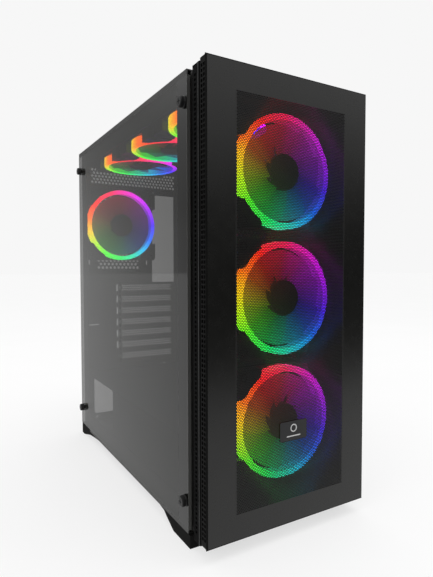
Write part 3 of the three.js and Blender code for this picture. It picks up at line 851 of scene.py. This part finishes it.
def knurled_rings():
    """The head's outline at each level, with grooves along the barrel."""
    levels = [
        (0.0, THUMB_RADIUS - 0.3 * MM, False),
        (0.25 * MM, THUMB_RADIUS, False),
        (1.3 * MM, THUMB_RADIUS, False),
        (1.6 * MM, THUMB_RADIUS - 0.4 * MM, False),
        (1.8 * MM, BARREL_RADIUS - 0.1 * MM, False),
        (2.1 * MM, BARREL_RADIUS, True),
        (5.1 * MM, BARREL_RADIUS, True),
        (5.6 * MM, BARREL_RADIUS - 0.35 * MM, False),
        (THUMB_LENGTH - 0.1 * MM, BARREL_RADIUS - 0.9 * MM, False),
    ]
    points_per_tooth = 4
    steps = KNURL_TEETH * points_per_tooth
    rings = []
    for height, reach, knurled in levels:
        ring = []
        for step in range(steps):
            angle = 2 * math.pi * step / steps
            grooved = knurled and step % points_per_tooth in (2, 3)
            radius = reach - KNURL_DEPTH if grooved else reach
            ring.append((radius * math.cos(angle), radius * math.sin(angle), height))
        rings.append(ring)
    return rings


def thread_profile(shank):
    root = 1.7 * MM
    crest = 2.0 * MM
    profile = [(0, -shank)]
    for turn in range(int(shank / THREAD_PITCH)):
        start = -shank + turn * THREAD_PITCH
        profile += [(root, start + 0.05 * MM), (crest, start + THREAD_PITCH / 2)]
    return profile + [(root, 0), (0, 0)]


def cross_outline(reach, half):
    return [
        (reach, -half), (reach, half), (half, half), (half, reach), (-half, reach), (-half, half),
        (-reach, half), (-reach, -half), (-half, -half), (-half, -reach), (half, -reach), (half, -half),
    ]


def right_panel(paints):
    """A steel side with a shallow stamped field and a screw flange folded along its rear edge."""
    box = Box("right_panel")
    shape = Shape()
    border = 28 * MM
    field = rounded(box.y0 + border, box.y1 - border, box.z0 + border, box.z1 - border, border / 2)
    side = rectangle(box.y0, box.y1, box.z0, box.z1)
    plate(shape, across_x, side, box.x1, box.x1 - SHEET, pockets=[field], floor=box.x1 - 0.6 * MM)
    holes = [disc(Box(node).x, Box(node).z, SCREW_BORE) for node in side_screws()]
    flange = rectangle(box.x1 - 13 * MM, box.x1 - SHEET, box.z0, box.z1)
    plate(shape, across_y, flange, box.y1, box.y1 - SHEET, holes)
    finished("right_panel", shape, [paints["steel"]], bevel=0.35 * MM)


# ==== chassis
def screw_head(shape, place, paint=0, radius=SCREW_HEAD_RADIUS, height=SCREW_HEAD_HEIGHT):
    """A pan head with a cross recess, standing on a face at height 0."""
    local = Shape()
    crown = 0.68 * radius
    profile = [(radius, 0), (radius, 0.4 * height), (0.85 * radius, 0.85 * height), (crown, height)]
    turned(local, profile, SMALL_ROUND)
    cross = cross_outline(0.5 * radius, 0.13 * radius)
    plate(local, across_z, disc(0, 0, crown), height, 0, pockets=[cross], floor=0.35 * height)
    shape.add([place @ Vector(point) for point in local.points], local.faces, paint)


def rear_vents(left, foot, ring):
    """Hexagonal vents: a band above the fan, its grille and a patch below it."""
    vents = []
    for x, z in lattice(left + 15 * MM, left + 172 * MM, foot + 414.8 * MM, foot + 436.8 * MM, VENT_PITCH):
        vents.append(hexagon(x, z, VENT_HOLE))
    for x, z in lattice(left + 24 * MM, left + 101 * MM, foot + 266.8 * MM, foot + 287.8 * MM, PATCH_PITCH):
        if math.hypot(x - ring.x, z - ring.z) > 57 * MM:
            vents.append(hexagon(x, z, WIDE_HOLE))
    reach = 56 * MM
    for x, z in lattice(ring.x - reach, ring.x + reach, ring.z - reach, ring.z + reach, VENT_PITCH):
        if math.hypot(x - ring.x, z - ring.z) < RING_INNER:
            vents.append(hexagon(x, z, WIDE_HOLE))
    return vents


def rear_slits(left, foot):
    """Short rounded slits beside the vent patch, above the I/O opening and over the shroud."""
    slits = []
    for x in (left + 10.3 * MM, left + 115.6 * MM):
        slits.append(rounded(x - 1.3 * MM, x + 1.3 * MM, foot + 272.8 * MM, foot + 282.8 * MM, 1.2 * MM))
    for x in (left + 118 * MM, left + 129 * MM):
        slits.append(rounded(x - 2 * MM, x + 2 * MM, foot + 403.2 * MM, foot + 405.6 * MM, 1.1 * MM))
    slits.append(rounded(left + 9 * MM, left + 26 * MM, foot + 167.8 * MM, foot + 169.8 * MM, 0.9 * MM))
    return slits


def supply_holes(left, foot):
    """The power supply's opening and three of its fixing holes."""
    side = left + 16.5 * MM
    far = left + 154.5 * MM
    opening = rounded(side, far, foot + 13.3 * MM, foot + 83.3 * MM, 5 * MM)
    low = foot + 7.3 * MM
    high = foot + 89.3 * MM
    fixings = [(side + 5 * MM, low), (side + 118 * MM, low), (far - 5 * MM, high)]
    return [opening, *[disc(x, z, 1.8 * MM, 12) for x, z in fixings]]


def slot_openings():
    """The openings behind the slot covers, and a slit beside each but the lowest for its tab."""
    openings = []
    for node in slot_cover_names():
        cover = Box(node)
        middle = cover.z
        half = 6.5 * MM
        openings.append(rectangle(cover.x0 + 5 * MM, cover.x1 - 5 * MM, middle - half, middle + half))
        if node != slot_cover_names()[-1]:
            half = 6 * MM
            openings.append(rectangle(cover.x0 - 4.2 * MM, cover.x0 - 1 * MM, middle - half, middle + half))
    return openings


def rear_wall(paints):
    """The rear sheet with its side flanges, the I/O opening's lip and the fan's screws."""
    box = Box("rear_wall")
    ring = Box("rear_fan_ring")
    back = box.y1
    left = box.x0  # the glass side
    io_side = left + 126 * MM
    io_foot = Box("slot_cover_1").z + IO_ABOVE_SLOT
    io = (io_side, io_side + IO_WIDTH, io_foot, io_foot + IO_HEIGHT)
    holes = [rectangle(*io)]
    holes += supply_holes(left, box.z0)
    holes += rear_vents(left, box.z0, ring)
    holes += rear_slits(left, box.z0)
    holes += slot_openings()
    shape = Shape()
    plate(shape, across_y, rectangle(box.x0, box.x1, box.z0, box.z1), back, back - SHEET, holes)
    flange = 25 * MM
    for x in (box.x0, box.x1 - SHEET):
        block(shape, x, x + SHEET, back - SHEET - flange, back - SHEET, box.z0, box.z1)
    margin = 2 * MM
    lip = rectangle(io[0] - margin, io[1] + margin, io[2] - margin, io[3] + margin)
    plate(shape, across_y, lip, back - SHEET, back - 1.5 * SHEET, [rectangle(*io)])
    for x in (-FAN_SCREW, FAN_SCREW):
        for z in (-FAN_SCREW, FAN_SCREW):
            place = facing((0, 1, 0), (ring.x + x, back, ring.z + z))
            screw_head(shape, place, 1, 4 * MM, 1.8 * MM)
    finished("rear_wall", shape, [paints["steel"], paints["zinc"]])


def slot_cover_names():
    return [node for node in sorted(BODY_OF) if node.startswith("slot_cover")]


def slot_cover(node, paints):
    """A perforated strip with its screw tab folded inwards."""
    box = Box(node)
    shape = Shape()
    strip = rounded(box.x0 + COVER_SHEET, box.x1, box.z0, box.z1, 1 * MM, 3)
    rows = 4.4 * MM
    holes = [
        hexagon(x, z, 2.7 * MM)
        for x, z in lattice(box.x0 + 6 * MM, box.x1 - 9 * MM, box.z - rows, box.z + rows, 4.2 * MM)
    ]
    plate(shape, across_y, strip, box.y1, box.y1 - COVER_SHEET, holes)
    tab = rounded(box.y0, box.y1, box.z0, box.z1, 1 * MM, 3)
    fixing = box.y0 + 5 * MM
    plate(shape, across_x, tab, box.x0, box.x0 + COVER_SHEET, [disc(fixing, box.z, 1.9 * MM)])
    screw_head(shape, facing((-1, 0, 0), (box.x0, fixing, box.z)), 1)
    finished(node, shape, [paints["steel"], paints["zinc"]])


def fixing_slots(u, v, along, across):
    """Four rounded slots round a fan's middle, so that it can be shifted before it is screwed down."""
    return [
        rounded(u + du - along, u + du + along, v + dv - across, v + dv + across, 2.1 * MM, 4)
        for du in (-FAN_SCREW, FAN_SCREW)
        for dv in (-FAN_SCREW, FAN_SCREW)
    ]


def roof_frame(paints):
    """The roof sheet with three fan openings, the controls' opening, two rails and a rim by the glass."""
    box = Box("roof_frame")
    shape = Shape()
    controls = Box("io_panel")
    rings = [Box(f"{fan}_ring") for fan in FAN_NAMES if fan.startswith("roof")]
    holes = [disc(ring.x, ring.y, FAN_OPENING, ROUND) for ring in rings]
    under_controls = (controls.x0 + 5 * MM, controls.x1 - 3 * MM, controls.y0 + 2 * MM, controls.y1 - 2 * MM)
    holes.append(rectangle(*under_controls))
    for ring in rings:
        holes += fixing_slots(ring.x, ring.y, 5 * MM, FAN_HOLE)
    plate(shape, across_z, rectangle(box.x0, box.x1, box.y0, box.y1), box.z1, box.z1 - SHEET, holes)
    rail_front = box.y0 + 21.7 * MM
    rail_back = box.y1 - 27 * MM
    rim_low = Box("glass_panel").z1 + 0.3 * MM
    for x in (box.x0 + RIM_LEDGE, box.x1 - SHEET):
        block(shape, x, x + SHEET, rail_front, rail_back, box.z0, box.z1 - SHEET)
    block(shape, box.x0, box.x0 + SHEET, box.y0, box.y1, rim_low, box.z1 - SHEET)
    finished("roof_frame", shape, [paints["steel"]])


def front_frame(paints):
    """The sheet that holds the front fans, perforated between them, with its two side flanges."""
    box = Box("front_frame")
    shape = Shape()
    rings = [Box(f"{fan}_ring") for fan in FAN_NAMES if fan.startswith("front")]
    holes = [disc(ring.x, ring.z, FAN_OPENING, ROUND) for ring in rings]
    for ring in rings:
        holes += fixing_slots(ring.x, ring.z, FAN_HOLE, 5 * MM)

    def clear(x, z, ring):
        to_slot = abs(abs(x - ring.x) - FAN_SCREW) + abs(abs(z - ring.z) - FAN_SCREW)
        return math.hypot(x - ring.x, z - ring.z) > RING_OUTER and to_slot > 11 * MM

    side = 30 * MM
    for x, z in lattice(box.x0 + side, box.x1 - side, box.z0 + 2 * side, box.z1 - side, 5 * MM):
        if abs(x - rings[0].x) < 70 * MM and all(clear(x, z, ring) for ring in rings):
            holes.append(disc(x, z, 1.6 * MM, 10))
    plate(shape, across_y, rectangle(box.x0, box.x1, box.z0, box.z1), box.y0, box.y0 + SHEET, holes)
    for x in (box.x0, box.x1 - SHEET):
        block(shape, x, x + SHEET, box.y0 + SHEET, box.y1, box.z0, box.z1)
    finished("front_frame", shape, [paints["steel"]])


def plain_node(node, paint):
    """Keeps a CAD node as it is, with a better material."""
    piece = frame["nodes"][node]
    piece.data.materials.clear()
    piece.data.materials.append(paint)


# ==== fans
def fan_place(fan):
    """Where a fan's own frame lies: upright for the front and rear fans, flat under the roof."""
    ring = Box(f"{fan}_ring")
    if fan.startswith("roof"):
        return Matrix.Translation((ring.x, ring.y, ring.z0))
    upright = Matrix(((1, 0, 0, 0), (0, 0, 1, 0), (0, -1, 0, 0), (0, 0, 0, 1)))
    return Matrix.Translation((ring.x, ring.y0, ring.z)) @ upright


def fan_frame_shape():
    shape = Shape()
    duct_low = RING_DEPTH + 0.3 * MM
    fan_duct(shape, duct_low)
    for quarter in range(4):
        corner_lug(shape, Matrix.Rotation(quarter * math.pi / 2, 2), duct_low)
    motor_mount(shape)
    return shape


def fan_duct(shape, duct_low):
    """Two square flanges with a round duct and four screw posts between them."""
    corners = [(x, y) for x in (-FAN_SCREW, FAN_SCREW) for y in (-FAN_SCREW, FAN_SCREW)]
    screw_holes = [disc(x, y, FAN_HOLE, 16) for x, y in corners]
    square = rounded(-FAN_HALF, FAN_HALF, -FAN_HALF, FAN_HALF, 6 * MM, 6)
    bore = disc(0, 0, FAN_BORE, ROUND)
    near = duct_low + 3.2 * MM
    far = FAN_DEPTH - FAN_FLANGE
    plate(shape, across_z, square, near, duct_low, [bore, *screw_holes])
    plate(shape, across_z, square, FAN_DEPTH, far, [bore, *screw_holes])
    plate(shape, across_z, disc(0, 0, FAN_BORE + 2.2 * MM, ROUND), far, near, [bore])
    for (x, y), hole in zip(corners, screw_holes):
        plate(shape, across_z, disc(x, y, 2 * FAN_HOLE, 24), far, near, [hole])


def corner_lug(shape, turn, depth):
    """A lug beside the ring, with a soft pad round its fixing hole."""
    side = FAN_HALF / 2
    round_middle = FAN_HALF - 6 * MM
    inner = arc(0, 0, RING_OUTER + 0.8 * MM, 58, 32, 8)
    outer = arc(round_middle, round_middle, 6 * MM, 0, 90, 6)
    low = FAN_SCREW - 4.2 * MM
    high = FAN_SCREW + 5 * MM

    def placed(outline):
        return [tuple(turn @ Vector(point)) for point in outline]

    lug = placed([(FAN_HALF, side), *outer, (side, FAN_HALF), *inner])
    hole = placed(disc(FAN_SCREW, FAN_SCREW, FAN_HOLE, 16))
    pad = placed(rounded(low, high, low, high, 3.5 * MM))
    plate(shape, across_z, lug, 0, depth, [hole])
    plate(shape, across_z, pad, -0.25 * MM, 0, [hole], paint=1)


def motor_mount(shape):
    """A shallow cup held by four leaning struts."""
    low = FAN_DEPTH - 2.6 * MM
    recess = disc(0, 0, HUB_RADIUS - 3 * MM, ROUND)
    cup = disc(0, 0, HUB_RADIUS, ROUND)
    plate(shape, across_z, cup, FAN_DEPTH, low, pockets=[recess], floor=FAN_DEPTH - 0.4 * MM)
    for strut in range(4):
        sections = []
        for radius in (HUB_RADIUS - 1 * MM, 36 * MM, FAN_BORE + 1 * MM):
            lean = 4 * MM * (radius / FAN_BORE)
            sections.append([
                (radius, lean - 1.5 * MM, low), (radius, lean + 1.5 * MM, low),
                (radius, lean + 1.0 * MM, FAN_DEPTH), (radius, lean - 1.0 * MM, FAN_DEPTH),
            ])
        loft(shape, sections, place=Matrix.Rotation((strut + 0.5) * math.pi / 2, 4, "Z"))


def ring_shape():
    """The diffuser, with a rounded rim. Its inner wall is painted as the dimmer material."""
    shape = Shape()
    profile = [
        (RING_INNER, RING_DEPTH), (RING_INNER, 1.2 * MM), (RING_INNER + 0.5 * MM, 0.4 * MM),
        (RING_INNER + 1.5 * MM, 0), (RING_OUTER - 1.3 * MM, 0), (RING_OUTER - 0.4 * MM, 0.5 * MM),
        (RING_OUTER, 1.4 * MM), (RING_OUTER, RING_DEPTH),
    ]
    turned(shape, profile, 120, closed=True)
    for index, face in enumerate(shape.faces):
        reach = max(math.hypot(*shape.points[corner][:2]) for corner in face)
        if reach < RING_INNER + 0.2 * MM:
            shape.paints[index] = 1
    return shape


def rotor_shape():
    """A capped hub with swept, twisted blades that are thickest near their leading edges."""
    shape = Shape()
    low = 1.5 * MM
    high = FAN_DEPTH - 4 * MM
    hub = [
        (0, low + 0.2 * MM), (15.4 * MM, low + 0.2 * MM), (15.6 * MM, low), (HUB_RADIUS - 1.6 * MM, low),
        (HUB_RADIUS - 0.5 * MM, low + 0.5 * MM), (HUB_RADIUS, low + 1.6 * MM), (HUB_RADIUS, high), (0, high),
    ]
    turned(shape, hub, ROUND, paint=1)
    sections = 9
    for blade in range(BLADE_COUNT):
        start = 2 * math.pi * blade / BLADE_COUNT
        loft(shape, [blade_section(start, i / (sections - 1)) for i in range(sections)])
    return shape


def blade_section(start, share):
    """A blade's closed outline at one share of the way from its root to its tip."""
    root = HUB_RADIUS - 1 * MM
    radius = root + (BLADE_TIP - root) * share
    sweep = math.radians(16) * share ** 1.3
    depth = 10 * MM
    steps = 8
    upper = []
    lower = []
    for step in range(steps + 1):
        along = step / steps
        angle = start + sweep + math.radians(BLADE_SPAN) * along
        camber = along + 0.12 * math.sin(math.pi * along)
        height = BLADE_FRONT + depth * (camber * (0.92 - 0.25 * share) + 0.1 * share)
        thick = (0.45 + 0.75 * math.sin(math.pi * min(1, 0.12 + along))) * MM
        x = radius * math.cos(angle)
        y = radius * math.sin(angle)
        lower.append((x, y, height - thick / 2))
        upper.append((x, y, height + thick / 2))
    return (lower + upper[::-1])[::-1]


def fans(paints):
    """Finishes every fan. The roof's and the rear fan's rainbows start a little before the top."""
    frame_shape = fan_frame_shape()
    ring = ring_shape()
    rotor = rotor_shape()
    frame_paints = [paints["fan_plastic"], paints["rubber"]]
    for fan in FAN_NAMES:
        place = fan_place(fan)
        at_front = fan.startswith("front")
        twist = Matrix.Rotation(0 if at_front else math.radians(-20), 4, "Z")
        lit = [paints[key] for key in (("ring", "ring_wall") if at_front else ("bright_ring", "bright_wall"))]
        finished(f"{fan}_frame", frame_shape, frame_paints, bevel=0.3 * MM, place=place)
        finished(f"{fan}_ring", ring, lit, place=place @ twist)
        finished(f"{fan}_rotor", rotor, [paints["blade"], paints["hub"]], place=place)


# ==== the whole tower
make_camera()
make_world()
make_floor()
make_lights()
paints = make_materials()
front_panel(paints)
front_bezel(paints)
badge(paints)
glass_panel(paints)
for node in window_screws():
    thumbscrew(node, "x", paints)
for node in side_screws():
    thumbscrew(node, "y", paints)
right_panel(paints)
rear_wall(paints)
for node in slot_cover_names():
    slot_cover(node, paints)
roof_frame(paints)
front_frame(paints)
fans(paints)
for node in ("floor_pan", "motherboard_tray", "psu_shroud", "drive_cage"):
    plain_node(node, paints["steel"])
for node in ("top_filter", "psu_filter"):
    plain_node(node, paints["weave"])
for node in ("io_panel", "port_block", "fan_hub"):
    plain_node(node, paints["plastic"])
for node in ("power_button", "reset_button"):
    plain_node(node, paints["gloss"])
for node in sorted(BODY_OF):
    if node.startswith("foot_"):
        plain_node(node, paints["rubber"])

bpy.context.view_layer.update()
